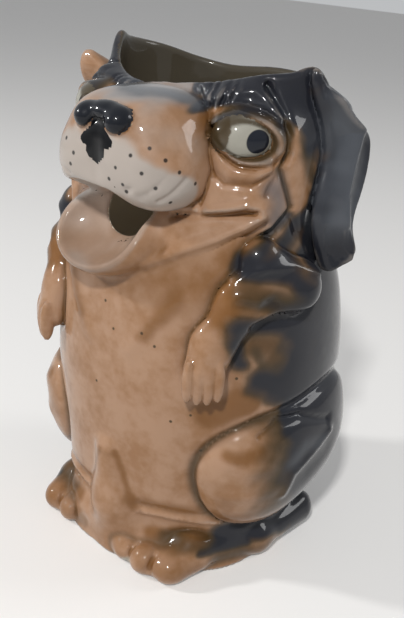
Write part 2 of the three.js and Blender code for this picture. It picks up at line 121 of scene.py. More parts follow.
def oval(p, centre, half, turn=0, tilt=0, power=2):
    q = p - point(*centre)
    if turn or tilt:
        turned = Matrix.Rotation(math.radians(turn), 3, "Z") @ Matrix.Rotation(math.radians(tilt), 3, "X")
        q = q @ np.array(turned, real)
    shares = np.abs(q) / point(*half)
    near = (shares ** power).sum(axis=1) ** (1 / power) + tiny
    steep = np.linalg.norm(shares ** (power - 1) / point(*half), axis=1) * near ** (1 - power)
    return (near - 1) / (steep + tiny)


def limb(p, start, start_radius, end, end_radius):
    start, end = point(*start), point(*end)
    along = end - start
    share = np.clip((p - start) @ along / (along @ along), 0, 1)
    gap = np.linalg.norm(p - start - share[:, None] * along, axis=1)
    return gap - (start_radius + (end_radius - start_radius) * share)


def chain(p, blend, *joints):
    return join(blend, *[limb(p, *a, *b) for a, b in zip(joints, joints[1:])])


def read_shares(table, count=400):
    """A smooth curve through the rows of a table, read at even steps of its first column."""
    at = np.linspace(table[0, 0], table[-1, 0], count)
    before, after = np.roll(table, 1, 0), np.roll(table, -1, 0)
    before[0], after[-1] = table[0], table[-1]
    slopes = (after - before) / (after[:, :1] - before[:, :1])
    row = np.clip(np.searchsorted(table[:, 0], at, side="right") - 1, 0, len(table) - 2)
    a, b, span = table[row], table[row + 1], (table[row + 1] - table[row])[:, :1]
    t = (at[:, None] - a[:, :1]) / span
    curve = (2 * t ** 3 - 3 * t ** 2 + 1) * a + (t ** 3 - 2 * t ** 2 + t) * slopes[row] * span
    return curve + (3 * t ** 2 - 2 * t ** 3) * b + (t ** 3 - t ** 2) * slopes[row + 1] * span


barrel_curve = read_shares(barrel_shares)


def barrel_at(z):
    height, width, depth, back = (barrel_curve[:, column] for column in range(4))
    share = z / jug_height
    return (
        np.interp(share, height, width * body_half_width).astype(real),
        np.interp(share, height, depth * body_half_depth).astype(real),
        np.interp(share, height, back * body_half_depth).astype(real),
    )


def barrel(p, shrink=0):
    half_width, half_depth, middle = barrel_at(p[:, 2])
    half_width, half_depth = half_width - shrink, half_depth - shrink
    across, deep = np.abs(p[:, 0]) / half_width, np.abs(p[:, 1] - middle) / half_depth
    power = real(body_squareness)
    near = (across ** power + deep ** power + least) ** (1 / power)
    steep = np.hypot(across ** (power - 1) / half_width, deep ** (power - 1) / half_depth)
    return (near - 1) / (steep * near ** (1 - power) + tiny)


def on_body(turn, up, proud=0):
    """A place on the vessel's left side, so many degrees round from the front, or proud of it."""
    half_width, half_depth, middle = (float(value) for value in barrel_at(up))
    across, forward = math.sin(math.radians(turn)), math.cos(math.radians(turn))
    reach = abs(across / half_width) ** body_squareness + abs(forward / half_depth) ** body_squareness
    reach = reach ** (-1 / body_squareness) + proud
    return across * reach, middle - forward * reach, up


def unroll(p):
    """Lays the side of the jug out flat: millimetres round from the front, and height."""
    middle = barrel_at(p[:, 2])[2]
    return np.stack([np.arctan2(p[:, 0], middle - p[:, 1]) * unroll_radius, p[:, 2]], axis=1)


def near_line(p, line):
    """Distance from a line through places that have as many lengths as the points."""
    line = [point(*at) for at in line]
    nearest = np.full(len(p), np.inf, real)
    for a, b in zip(line, line[1:] or line):
        along = b - a
        share = np.clip((p - a) @ along / max(along @ along, least), 0, 1)
        nearest = np.minimum(nearest, np.linalg.norm(p - a - share[:, None] * along, axis=1))
    return nearest


def near_course(flat, course):
    """Distance on the unrolled side from a line whose points are (degrees round, height)."""
    return near_line(flat, [point(*at) * point(degree_width, 1) for at in course])


def bump(distance, width, height):
    return real(height) * np.exp(-(distance / real(width)) ** 2)


def charted(work, low, high, step=0.2):
    """Works a function of two lengths out once, on a fine chart, and reads it from there afterwards."""
    across, up = (np.arange(a, b + step, step) for a, b in zip(low, high))
    chart = work(np.stack(np.meshgrid(across, up, indexing="ij"), axis=-1).reshape(-1, 2).astype(real))
    chart = chart.reshape(len(across), len(up)).astype(real)

    def read(flat):
        at = (flat - point(*low)) / real(step)
        cell = np.clip(at.astype(np.int32), 0, np.array(chart.shape) - 2)
        share = np.clip(at - cell, 0, 1)
        one, two = cell.T
        left = chart[one, two] * (1 - share[:, 1]) + chart[one, two + 1] * share[:, 1]
        right = chart[one + 1, two] * (1 - share[:, 1]) + chart[one + 1, two + 1] * share[:, 1]
        return left * (1 - share[:, 0]) + right * share[:, 0]

    return read


def creases(*courses):
    """Creases on both sides of the jug, each (depth, width, course); a negative depth is a ridge."""
    return charted(
        lambda flat: sum(bump(near_course(flat, course), width, depth) for depth, width, course in courses),
        (-1, -3), (180 * degree_width, jug_height + 3),
    )


# Each piece, worked out within this far of its solid's box, and each pass of the spray gun, in its order
clay = {}
sprays = []
box_margin = 7
sharpest = 0.05


def model(name, slot, form, blend=0.0, score=0.0, score_width=1.0):
    """Adds a piece, with a fillet as wide as the blend and a line scored round it."""
    low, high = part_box(name)
    clay[name] = {
        "slot": slot, "form": form, "blend": max(blend, sharpest), "score": score, "score_width": score_width,
        "low": point(*low) / mm - box_margin, "high": point(*high) / mm + box_margin,
    }


def model_pair(name, slot, form, right_form=None, **meeting):
    """Adds a left piece, and a right one of the same form or its own, turned over from the left."""
    right_form = right_form or form
    model(f"left_{name}", slot, form, **meeting)
    model(f"right_{name}", slot, lambda p: right_form(p * point(-1, 1, 1)), **meeting)


def spray(colour, line, radius, strength=1.0, soft=1.0, both=True):
    """Sprays a colour along a line of places or of (degrees round, height), or along a form's surface.

    It fades over the soft share of its radius. The colour "bare" wipes the others away.
    """
    sprays.append((colour, line, radius, strength, soft, both))


plinth_half = (43, 45)
plinth_forward = 2
plinth_height = 13
plinth_blend = 5
plinth_squareness = 2.5
plinth_steepness = 0.95
belly_creases = creases(
    (0.9, 6, [(58, 90), (62, 84), (66, 80)]),
    (0.8, 4, [(50, 93), (48, 84), (47, 74)]),
    (-0.5, 3, [(29, 104), (23, 98), (15, 90), (10, 84)]),
    (0.6, 1.3, [(12, 22.5), (25, 23.5), (38, 23), (54, 21.4), (69, 23)]),
    (-0.8, 1.1, [(14, 20.1), (25, 21.1), (38, 20.6), (54, 18.8), (66, 20)]),
)


def plinth(p):
    offset = (p[:, :2] + point(0, plinth_forward)) / point(*plinth_half)
    power = real(plinth_squareness)
    near = ((np.abs(offset) ** power).sum(axis=1) + least) ** (1 / power)
    side = (near - 1) * min(plinth_half) * real(plinth_steepness)
    return carve(side, plinth_height - p[:, 2], plinth_blend)


def belly(p):
    return join(plinth_blend, barrel(p), plinth(p)) + belly_creases(np.abs(unroll(p)))


model("foot_base", "pink_glaze", belly)
model("belly_shell", "pink_glaze", belly)

# Pinholes in the glaze, and a chip in the near foot
pinholes = [
    (1.8, -49.5, 89.2), (13.3, -48.9, 91.1), (17.7, -47.4, 87.6), (23.8, -44.2, 61.5), (29.7, -41.5, 65.1),
    (40, -32.3, 79.1), (-5.5, -48.9, 67.3), (31.7, -37, 50.8), (-2.6, -49, 97.6),
]
pinhole_radius = 0.5
chip_place = (12, -48.8, 2.4)
chip_radius = 1.9
spray("tan", [(28, 105), (23, 98), (16, 90)], 5, 0.8)
spray("tan", [(0, 112), (50, 110)], 24, 0.6)
spray("tan", [(42, 66), (48, 68), (54, 70)], 8, 1, 0.6)
spray("tan", [(46, 92), (49, 80), (51, 76)], 5, 0.6)
spray("tan", [(56, 90), (66, 89), (67, 84)], 6, 0.9)
spray("tan", [(12, 24), (34, 25), (58, 25)], 5, 0.8)
spray("smoke", [(51, 98), (58, 97), (70, 97)], 8, 0.9)
spray("umber", [(57, 92), (64, 88), (66, 80)], 12, 0.6)
spray("smoke", [(50, 93), (52, 84)], 5, 0.85)
spray("umber", [(58, 88), (61, 83)], 3, 0.7)
spray("smoke", [(61, 77), (67, 74), (76, 70)], 9, 0.95)
spray("smoke", [(90, 112), (80, 92), (78, 78), (86, 62)], 15)
spray("smoke", [(114, 172), (112, 112), (108, 60), (112, 16)], 24, 1, 0.4)
spray("smoke", [(160, 176), (160, 12)], 34, 1, 0.4)

# The head
# The top of the same casting, pressed out into cheeks and brows, with its rim cut to the dog's forehead.
# The brow hairs, lids, cheek folds and the corners of the mouth are modelled in the clay before firing.
rim_fall = 16
rim_edge = 2.6
cheek_blend = 7
# Degrees round from the front towards the dog's left, and the fall of the rim as a share
rim_shares = np.array([
    (-7, 0.65), (0, 0.64), (21, 0.55), (37, 0.42), (51, 0.27), (62, 0.2), (72, 0.07), (82, 0.5), (93, 0.84),
    (107, 0.97), (128, 0.88), (153, 0.66), (180, 0.6), (215, 0.69), (234, 0.58), (252, 0.36), (262, 0.26),
    (278, 0.12), (287, 0), (296, 0.3), (308, 0.54), (321, 0.69), (334, 0.74), (353, 0.65), (360, 0.64),
])
rim_curve = read_shares(rim_shares)
eye_place = (33.6, -30.8, 154.6)
eye_turn = 47
eye_opening = (8.6, 5.1)
eye_slant = 0.1
eye_corner_taper = 0.42
eye_steepness = 6
eye_depth, eye_depth_blend = 9, 1.5
eye_line_out = 0.4
socket_depth, socket_edge, socket_reach = 4.0, 0.4, 8
lids_meet, lids_meet_blend = 0.5, 1.2
# The fold of each lid and the groove round it: how far outside the opening, how wide, and how deep
upper_lid = [(2, 1.5, -1.9), (4.6, 1.0, 0.9)]
lower_lid = [(1.4, 1.1, -1.3), (3.6, 1.0, 0.8)]
face_creases = creases(
    (2.1, 1.4, [
        (52, 169), (59, 161), (63, 151.5), (62, 146.5), (68, 139), (72, 134), (67, 127), (59, 122), (44, 114),
    ]),
    (1.2, 1.3, [(52, 153.5), (58, 149), (60, 144), (59, 138.5)]),
    (-1.2, 2.2, [(34, 149.5), (43, 144.5), (52, 144.5), (56, 147)]),
    (0.9, 1.2, [(32, 145.5), (42, 141), (52, 141), (57, 144)]),
    (-1.9, 1.9, [
        (35, 131.5), (45, 133.5), (52, 135.5), (58, 134), (59, 132), (53, 128.5),
        (43, 124.5), (30, 120), (15, 114),
    ]),
    (2, 1.3, [(24, 129), (31, 129.9), (42, 131.2), (52, 132.5), (56, 132.8)]),
    (1, 1.4, [(62, 129), (56, 125.6), (48, 121.4), (37, 116), (28, 112)]),
    (0.9, 1.5, [(74, 131), (85, 120), (92, 113)]),
    (1.2, 1.2, [(27, 157), (28, 150), (32, 142), (35, 136), (35, 132)]),
    (1, 1.1, [(11, 160), (14, 155.5), (19, 151.5)]),
    (1.1, 1, [(33, 155.4), (30, 156.6), (26, 157)]),
    (0.9, 1, [(20, 166.3), (23, 162.7), (27, 159)]),
    (0.8, 0.9, [(27, 168), (25, 165), (24, 161)]),
    (0.8, 0.9, [(31, 168.5), (29, 165), (29, 161.5)]),
    (0.8, 0.9, [(37, 169.8), (34.5, 165.9), (33, 162)]),
    (0.6, 0.8, [(40, 169.8), (38, 166.5), (36.5, 163.5)]),
    (-1.3, 2.2, [(26, 163.5), (36, 167), (46, 168), (54, 165), (58, 160)]),
)


def step_up(distance, blend):
    """Rises from 0 to 1 as the distance passes 0."""
    return 1 / (1 + np.exp(-distance / real(blend)))


def eye_gap(p):
    """Distance from the edge of the eye's opening, the height over its middle, and 1 at the front."""
    turned = Matrix.Rotation(math.radians(eye_turn), 3, "Z")
    across, back, up = ((p - point(*eye_place)) @ np.array(turned, real)).T
    up = up + eye_slant * across
    corner = np.clip(-across / eye_opening[0], 0, 2)
    half_up = eye_opening[1] * (1 - eye_corner_taper * corner ** 2)
    gap = np.hypot(across / eye_opening[0], up / np.maximum(half_up, 1))
    return (gap - 1) * real(eye_steepness), up, step_up(eye_depth - back, eye_depth_blend)


def lids(p):
    """The socket and the lids: a hollow inside the opening, with a thick fold above and a thin one below."""
    gap, up, front = eye_gap(p)
    socket = socket_depth * step_up(-np.clip(gap, -socket_reach, socket_reach), socket_edge)
    upper = step_up(up - lids_meet, lids_meet_blend)
    fold, groove = (
        bump(gap - above[0], *above[1:]) * upper + bump(gap - below[0], *below[1:]) * (1 - upper)
        for above, below in zip(upper_lid, lower_lid)
    )
    return (socket + fold + groove) * front


def eye_rim(p):
    """Distance from the painted line round the eye."""
    gap, _, front = eye_gap(on_left(p))
    return np.abs(gap - eye_line_out) + (1 - front) * far


def head(p):
    q = on_left(p)
    cheeks = join(cheek_blend, oval(q, (22, -14, 138), (22, 20, 19)), oval(q, (25, -16, 152), (18, 17, 14)))
    form = join(cheek_blend, barrel(p), cheeks)
    form = form + face_creases(unroll(q)) + lids(q)
    turn = np.degrees(np.arctan2(p[:, 0], barrel_at(p[:, 2])[2] - p[:, 1])) % 360
    rim = jug_height - rim_fall * np.interp(turn, rim_curve[:, 0], rim_curve[:, 1]).astype(real)
    return carve(form, rim - p[:, 2], rim_edge)


model("head_shell", "tan_glaze", head)

spray("smoke", [(68, 172), (50, 170), (38, 168), (26, 166.5), (20, 167)], 4.5, 1, 0.7)
spray("smoke", [(24, 162), (34, 164), (45, 166), (56, 164), (64, 160)], 2.6, 0.9, 0.8)
spray("smoke", [(54, 168), (64, 166), (71, 160), (75, 154)], 8, 1, 0.8)
spray("haze", [(14, 167), (-30, 168)], 7, 0.6, both=False)
spray("umber", [(70, 152), (76, 147), (80, 142)], 6, 0.8)
spray("tan", [(78, 138), (84, 126), (88, 118)], 4, 0.6)
spray("smoke", [(86, 132), (90, 122), (92, 116)], 4, 0.7)
spray("white", [(0, 168), (12, 166)], 9, 0.7)
spray("umber", eye_rim, 1.6, 0.9)
spray("umber", [(33, 157), (37, 161), (44, 163), (52, 162.5), (57, 160), (60, 155)], 4.5, 0.95)
spray("smoke", [(34, 158), (44, 163), (54, 162), (59, 157)], 4, 0.75)
spray("umber", [(31, 154), (38, 149.5), (48, 147), (57, 149), (60, 154)], 2.4, 0.5)
spray("tan", [(28, 158), (26, 163)], 4, 0.9)
spray("tan", [(44, 144), (56, 142), (60, 150)], 4, 0.45)
spray("haze", [(61, 141), (65, 136), (66, 131)], 6, 0.85)
spray("umber", [(60, 140), (66, 132)], 8, 0.3)
spray("umber", [(62, 158), (63, 151), (61, 146), (68, 139), (72, 134), (67, 127), (59, 122)], 2.2, 0.8)
spray("smoke", [(72, 131), (64, 124.5), (54, 118)], 3, 0.7)
spray("smoke", [(78, 128), (72, 120), (60, 116)], 7, 0.85)
spray("tan", [(60, 126), (48, 118)], 5, 0.5)
spray("umber", [(36, 131.5), (45, 133.4), (54, 134.4)], 1.2, 0.5)

# The muzzle
# A blunt box of clay luted to the face, with two full lips whose lower edge overhangs the mouth.
muzzle_half = (21.5, 24.5, 15)
muzzle_squareness = 2.7
lip_half = (13.8, 19, 12.8)
lip_squareness = 2.4
lip_blend = 5
lip_out = 10.6
lip_aside = 0.7
lip_middle_half = (9, 11, 6)
whisker_radius = 0.6
whiskers = [
    (17.3, -54.5, 152), (13, -57.6, 149.5), (21.4, -52, 149), (8.4, -58.8, 145.2),
    (17, -57.1, 145), (23.9, -48.4, 145.5), (25, -41.9, 141.4), (20.1, -54.2, 140.9),
    (21.9, -49.2, 136.2), (5.2, -57.7, 141.1), (10.7, -57.9, 140.5), (11.4, -56.9, 138.4),
    (-8.7, -58.9, 146.2), (-10.3, -58.4, 142.5), (-13.2, -57.4, 149.7),
]
muzzle_creases = [
    (0.8, 1.4, [(0, -60, 158), (0.3, -60, 150), (0, -59, 138)]),
    (0.6, 1.2, [(12, -57, 139), (16, -55, 142.5), (18, -53, 147)]),
    (0.5, 1.1, [(16, -56, 137.5), (20, -54, 141), (21.5, -51, 145)]),
    (0.5, 1.1, [(20, -52, 137), (23, -49, 140), (24, -46, 143)]),
]


def muzzle(p):
    q = on_left(p)
    form = join(
        lip_blend,
        oval(p, (0, -34, 150.5), muzzle_half, power=muzzle_squareness),
        oval(p, (lip_aside + lip_out, -39, 143.3), lip_half, power=lip_squareness),
        oval(p, (lip_aside - lip_out, -39, 143.3), lip_half, power=lip_squareness),
        oval(p, (-1, -46, 138.5), lip_middle_half),
    )
    return form + sum(bump(near_line(q, line), width, depth) for depth, width, line in muzzle_creases)


model("muzzle", "white_glaze", muzzle, blend=1.5, score=0.6, score_width=1.3)

spray("white", [(-16, -52, 143), (-8, -59, 144), (8, -59, 144), (16, -56, 140), (21, -48, 136)], 12, 1, 0.5)
spray("white", [(0, -48, 164), (6, -36, 166)], 9, 0.85)
spray("white", [(16, -52, 155), (22, -40, 152)], 12, 0.4)
spray("haze", [(0, -44, 166), (12, -34, 166)], 11, 0.95)
spray("smoke", [(2, -42, 166), (14, -32, 166)], 9, 0.55)
spray("white", [(-18, -48, 152), (-6, -58, 152), (3, -59, 150)], 9, 0.8)

# The nose
# A small saddle of clay with two swelling wings, painted black, with a long drip of black under it.
nose_blend = 2


def nose(p):
    return join(
        nose_blend,
        oval(p, (0.5, -54, 159.8), (7, 4.6, 3.2)),
        oval(on_left(p), (6.6, -54.5, 157.6), (4.2, 5.8, 4.3), turn=-12),
    )


model("nose_pad", "black_glaze", nose, blend=0.8, score=0.4, score_width=0.8)
spray("black", [(-1, -57.6, 157), (0.4, -58.3, 152.8), (0.4, -58.3, 148.5)], 3.6, 1, 0.15)
spray("black", [(-3.6, -57.9, 155), (-2.6, -58.6, 150)], 2.2, 1, 0.15)
spray("black", [(0.2, -58.3, 148), (-1.4, -58, 144)], 1.6, 1, 0.15)
spray("black", [(2, -58.4, 153.4), (4.4, -58.4, 151.6)], 2.0, 1, 0.15)

# The lower jaw
# A ladle-shaped lip luted under the muzzle and hollowed into the trough that pours, its rim rolled.
jaw_droop = 24
trough_blend = 3
passage_radius = 9


def jaw(p):
    return oval(p, (-6, -39.5, 120.5), (21, 21.5, 12), tilt=jaw_droop)


def trough(p):
    return join(
        trough_blend,
        oval(p, (-6, -57.5, 124.5), (17.4, 17.5, 12.4), tilt=jaw_droop),
        limb(p, (0, -52, 128), passage_radius, (0, -18, 131), passage_radius),
    )


model("lower_jaw", "white_glaze", jaw, blend=3)
spray("white", trough, 3, 0.5, 0.5)
spray("white", [(-18, -54, 118), (-8, -60, 110), (2, -60, 110), (10, -56, 113)], 5, 0.6)

# The eyes
# Two balls of clay set in their sockets, cream white, with a painted pupil that looks to the dog's left.
def eye(p):
    return oval(p, (30.4, -27.6, 154.6), (9.6, 6.6, 7.2), turn=eye_turn)


model_pair("eye", "eye_glaze", eye)
# The blotted corner and the pupil of each eye, where their edges lie, and how far these stray
eye_spots = [((24.5, -34.6, 155.6), (39.3, -30, 154.4)), ((-38, -22, 153), (-27, -38.2, 156.6))]
eye_corner_edge = (6.9, 6.4)
pupil_edge = (4.9, 4.5)
eye_corner_stray, pupil_stray = 9, 0.4
eye_line_span, eye_line_cover = (0.1, 0.9), 0.9

# The ears
# Two slabs of clay hung from the rim and luted down the sides of the head, each pinched into a fold.
ear_height = 64
ear_width = 37
ear_top = 175.5
ear_front = 21
ear_out = 43
ear_flare = 7
ear_thickness = 8.5
ear_edge = 3
right_ear_rise = -1
right_ear_swing = 19
right_ear_dip = 22
# The heights between which clay fills the right ear's back, and how fast it fades out there
fill_low, fill_high = 152, 169
fill_low_fade, fill_high_fade = 10, 8
# Each relief: how wide, and how high
ear_fold = (3.2, 3.2)
ear_front_hollow = (7, -4.5)
ear_hem_in, ear_hem = 1.6, (1.5, 0.8)
ear_hair = (0.9, -0.45)
ear_margin = 12
# Share of the ear's width back from its front, and share of its height down
ear_shares = np.array([
    (0.34, -0.02), (0.42, 0.06), (0.58, 0.17), (0.72, 0.25), (0.94, 0.29), (1.05, 0.35), (1.05, 0.46),
    (0.96, 0.6), (0.78, 0.75), (0.76, 0.9), (0.65, 1), (0.52, 1.02), (0.42, 0.88), (0.36, 0.75),
    (0.38, 0.59), (0.5, 0.44), (0.42, 0.27), (0.32, 0.15), (0.28, 0.04),
])
ear_fold_shares = [(0.55, 0.14), (0.76, 0.3), (0.68, 0.46), (0.58, 0.6), (0.6, 0.78), (0.7, 0.93)]
ear_front_shares = [
    (0.34, 0), (0.3, 0.15), (0.4, 0.27), (0.48, 0.44), (0.36, 0.59), (0.34, 0.75), (0.44, 0.95),
]
ear_hairs = [[(0.45 + step, 0.78), (0.47 + step, 0.86), (0.54 + step, 0.92)] for step in (0, 0.08, 0.16)]


def ear_place(shares):
    return [(-ear_front + back * ear_width, ear_top - down * ear_height) for back, down in shares]


def outline(flat, corners):
    """Distance from a closed outline, negative inside it."""
    corners = [point(*corner) for corner in corners]
    nearest = np.minimum(near_line(flat, [*corners, corners[0]]), far)
    inside = np.zeros(len(flat), bool)
    for a, b in zip(corners, corners[1:] + corners[:1]):
        along = b - a
        crosses = (a[1] > flat[:, 1]) != (b[1] > flat[:, 1])
        level = (flat[:, 1] - a[1]) / (along[1] if along[1] else 1)
        inside ^= crosses & (flat[:, 0] < a[0] + level * along[0])
    return np.where(inside, -nearest, nearest)


ear_corners = np.array(ear_place(ear_shares))
# The outline's corners are cut off twice, which rounds them
for _ in range(2):
    after = np.roll(ear_corners, -1, 0)
    ear_corners = np.stack([ear_corners * 0.75 + after * 0.25, ear_corners * 0.25 + after * 0.75], 1)
    ear_corners = ear_corners.reshape(-1, 2)


def ear_relief(flat):
    relief = bump(near_line(flat, ear_place(ear_fold_shares)), *ear_fold)
    relief += bump(near_line(flat, ear_place(ear_front_shares)), *ear_front_hollow)
    relief += bump(outline(flat, ear_corners) + ear_hem_in, *ear_hem)
    return relief + sum(bump(near_line(flat, ear_place(hair)), *ear_hair) for hair in ear_hairs)


ear_chart = [(-ear_front - ear_margin, ear_top - ear_height - ear_margin), (ear_width, ear_top + ear_margin)]
ear_edge_at = charted(lambda flat: outline(flat, ear_corners), *ear_chart)
ear_relief_at = charted(ear_relief, *ear_chart)


def ear(q, drop=0, swing=0, filled=0):
    """An ear, hung lower by the drop, swung out from the head, and thickened towards it."""
    flat = q[:, 1:].copy()
    flat[:, 1] += drop
    flare = ear_flare * (ear_top - flat[:, 1]) / ear_height + swing
    across = q[:, 0] - ear_out - flare
    outer = across - ear_thickness / 2 - ear_relief_at(flat)
    slab = np.maximum(-across - ear_thickness / 2 - filled, outer)
    return carve(ear_edge_at(flat), -slab, ear_edge)


def right_ear(q):
    """The ear whose front end stands away from the head, filled with clay behind."""
    height = q[:, 2]
    ahead = (ear_width - ear_front - q[:, 1]) / ear_width
    swing = right_ear_swing * ahead
    filled = swing * np.clip((height - fill_low) / fill_low_fade, 0, 1)
    filled = filled * np.clip((fill_high - height) / fill_high_fade, 0, 1)
    return ear(q, right_ear_dip * ahead ** 3 - right_ear_rise, swing, filled)


model_pair("ear", "smoke_glaze", ear, right_ear, blend=0.8, score=0.7, score_width=1.2)
spray("smoke", [(84, 172), (90, 162), (97, 150), (96, 132), (98, 116)], 17, 1, 0.6)
spray("haze", [(84, 164), (92, 152), (96, 142), (94, 130)], 12, 0.85)
spray("bare", [(-52, -9, 168), (-54, -12, 160), (-57, -18, 148)], 14, 0.95, 0.6, both=False)
spray("tan", [(-50, -6, 164), (-54, -8, 154)], 9, 0.6, both=False)
spray("umber", [(-48, -6, 160), (-52, -6, 150)], 7, 0.5, both=False)

# The forelegs
# Rolls of clay laid along the chest: the elbow stands out at the side and the paw hangs at the front.
arm_blend = 4
# From shoulder to paw: degrees round, height, how far proud of the body, and the radius
arm_places = [
    (62, 117, -3, 8.5), (78, 107, -3, 9.5), (53, 104, -3, 8.6), (42, 91, -1.5, 7), (39, 83, 1.2, 6.6),
]
finger_half = (2.1, 2.6, 7.4)
finger_proud = 5.3
finger_blend = 0.9
finger_places = [(34, 80.2), (37.2, 79.6), (40.4, 79.8), (43.6, 81)]
arm_creases = creases(
    (1.6, 2.2, [(52, 105.5), (58, 104), (64, 106)]),
    (-0.8, 1.6, [(49, 113), (61, 117), (73, 117), (84, 113)]),
    (1.1, 1.6, [(88, 104), (80, 100.5), (66, 100.5), (56, 98)]),
)


def foreleg(q):
    form = chain(q, arm_blend, *[(on_body(*place), radius) for *place, radius in arm_places])
    form = form + arm_creases(unroll(q))
    for turn, up in finger_places:
        form = smooth(form, oval(q, on_body(turn, up, finger_proud), finger_half, turn=turn), finger_blend)
    return form


model_pair("foreleg", "tan_glaze", foreleg, blend=1.5, score=0.9, score_width=1.6)
spray("tan", [(44, 100), (50, 108), (57, 108), (69, 104)], 6, 0.95)
spray("umber", [(54, 108), (62, 107), (74, 104)], 9, 0.8)
spray("smoke", [(54, 116), (62, 117), (72, 113), (77, 108)], 7, 0.85)
spray("smoke", [(60, 106), (70, 103), (80, 102)], 4.5, 0.6)
spray("tan", [(36, 80), (44, 80)], 5, 0.25)

# The haunches
# A big pad of clay on each side, with a deep line where its knee lies against the belly.
haunch_middle = (30.5, 0, 45)
haunch_half = (25, 38.5, 30)
haunch_tilt = 14
haunch_squareness = 2.4
haunch_creases = creases(
    (1.3, 1.5, [(60, 57.5), (69, 61.1), (79, 60.7), (95, 55)]),
    (-0.9, 1.8, [(71, 33.9), (74, 41.2), (85, 45.5), (96, 50)]),
    (-0.9, 3.5, [(50, 50), (56, 47), (62, 48)]),
    (-0.6, 3, [(50, 36), (60, 37), (68, 38)]),
    (0.7, 5, [(84, 39), (95, 42)]),
)


def haunch(q):
    form = oval(q, haunch_middle, haunch_half, tilt=haunch_tilt, power=haunch_squareness)
    return form + haunch_creases(unroll(q))


model_pair("haunch", "tan_glaze", haunch, blend=0.6, score=1.3, score_width=1.3)
spray("smoke", [(78, 64), (84, 58), (90, 50)], 8, 1, 0.6)
spray("smoke", [(72, 58), (80, 56)], 4, 0.8)
spray("smoke", [(80, 54), (79, 42), (84, 30), (96, 30)], 16)
spray("haze", [(74, 46), (80, 50), (92, 48)], 4, 0.4)
spray("smoke", [(98, 60), (104, 40), (100, 20)], 12, 1, 0.4)
spray("umber", [(68, 58), (66, 46), (68, 30)], 14, 0.75)
spray("tan", [(49, 52), (54, 51.6), (60, 53)], 4.5, 0.9)
spray("tan", [(44, 40), (52, 30), (60, 26)], 7, 0.4)

# The hind feet
# Flat rolls of clay along the bottom edge, with three round toes each; the right foot lies further back.
right_foot_back = 4.5
right_foot_out = 3
foot_blend = 4
toe_height = 4.8
toe_half = (6.4, 7.8, 6)
toe_places = [(9.1, 42.7), (18.5, 44.3), (27.9, 42.7)]
toe_gaps = (13.8, 23.2)
toe_gap_width, toe_gap_depth = 1.1, 1.2
# Where a gap begins and ends, back from the middle and up
toe_gap_ends = [(-52, 1), (-47, 10)]


def hind_foot(q, out=0, back=0):
    """A foot, moved outwards and back by so much."""
    sole = chain(
        q, foot_blend, ((40, 16, 6.5), 7.5), ((38, -10, 6.5), 7.5),
        ((27.5 + out, back - 33, 7), 8.5), ((17 + out, back - 35, 6.5), 7.5),
    )
    toes = [oval(q, (out + across, back - forward, toe_height), toe_half) for across, forward in toe_places]
    form = join(foot_blend, sole, *toes)
    for gap in toe_gaps:
        line = [(out + gap, back + behind, up) for behind, up in toe_gap_ends]
        form = form + bump(near_line(q, line), toe_gap_width, toe_gap_depth)
    return form


model_pair(
    "hind_foot", "tan_glaze", hind_foot, lambda q: hind_foot(q, right_foot_out, right_foot_back),
    blend=1.6, score=0.8, score_width=1.4,
)
spray("tan", [(22, 13), (36, 14), (45, 14)], 6, 0.9)
spray("umber", [(28, 13), (38, 13), (48, 12)], 5, 0.6)
spray("tan", [(24, 6), (32, 7), (41, 5)], 7, 0.6)
spray("smoke", [(54, 14), (68, 13), (86, 12), (104, 11)], 7, 1, 0.8)
spray("smoke", [(44, 10.5), (54, 9.5), (66, 8.5)], 3, 0.7)
spray("umber", [(50, 6), (76, 5), (96, 6)], 6, 0.55)

# The tail
# A tapering roll of clay brought forward between the feet and laid up the front of the belly.
tail_blend = 6


def tail(p):
    return chain(p, tail_blend, ((3, -34, 0), 14), ((0, -40, 20), 9.5), ((-2, -44.5, 41), 4.8))


model("tail", "pink_glaze", tail, blend=3)
spray("tan", [(3, 42), (7, 34), (11, 25), (13, 21)], 2.4, 0.8)

# The handle
# A pulled loop of clay at the back, out of the photograph's sight, made plain like the ones on such jugs.
handle_height = 80
handle_reach = 32
handle_top = 152
handle_root_back = 36
handle_half = (7, 4.8)
# Share of the handle's reach out from its root, and share of its height down
handle_shares = [
    (-0.25, 0.1), (0.1, 0.06), (0.5, 0), (0.86, 0.1), (1, 0.32), (0.97, 0.56), (0.72, 0.8), (0.3, 0.96),
    (-0.1, 1.04),
]
handle_curve = read_shares(np.array([(row, *shares) for row, shares in enumerate(handle_shares)]), 40)
handle_line = [
    (handle_root_back + out * handle_reach, handle_top - down * handle_height)
    for _, out, down in handle_curve
]
handle_chart = [(0, handle_top - 1.4 * handle_height), (90, handle_top + 25)]
handle_middle_at = charted(lambda flat: near_line(flat, handle_line), *handle_chart)


def handle(p):
    middle = handle_middle_at(p[:, 1:])
    return (np.hypot(middle / handle_half[1], p[:, 0] / handle_half[0]) - 1) * handle_half[1]


model("handle", "smoke_glaze", handle, blend=5)
spray("smoke", [(0, 60, 150), (0, 68, 120), (0, 55, 80)], 20, 1, 0.5)

# The glaze
# Clear glossy glaze over colours sprayed on the biscuit: pinkish tan, brown, white and a smoky blue-black.
class Wire:
    """A socket in a material, with arithmetic."""

    def __init__(self, board, socket):
        self.board, self.socket = board, socket

    def maths(self, other, operation):
        return self.board.node("ShaderNodeMath", {"operation": operation}, self, other)

    __add__ = __radd__ = partialmethod(maths, operation="ADD")
    __sub__ = partialmethod(maths, operation="SUBTRACT")
    __mul__ = partialmethod(maths, operation="MULTIPLY")
    __truediv__ = partialmethod(maths, operation="DIVIDE")


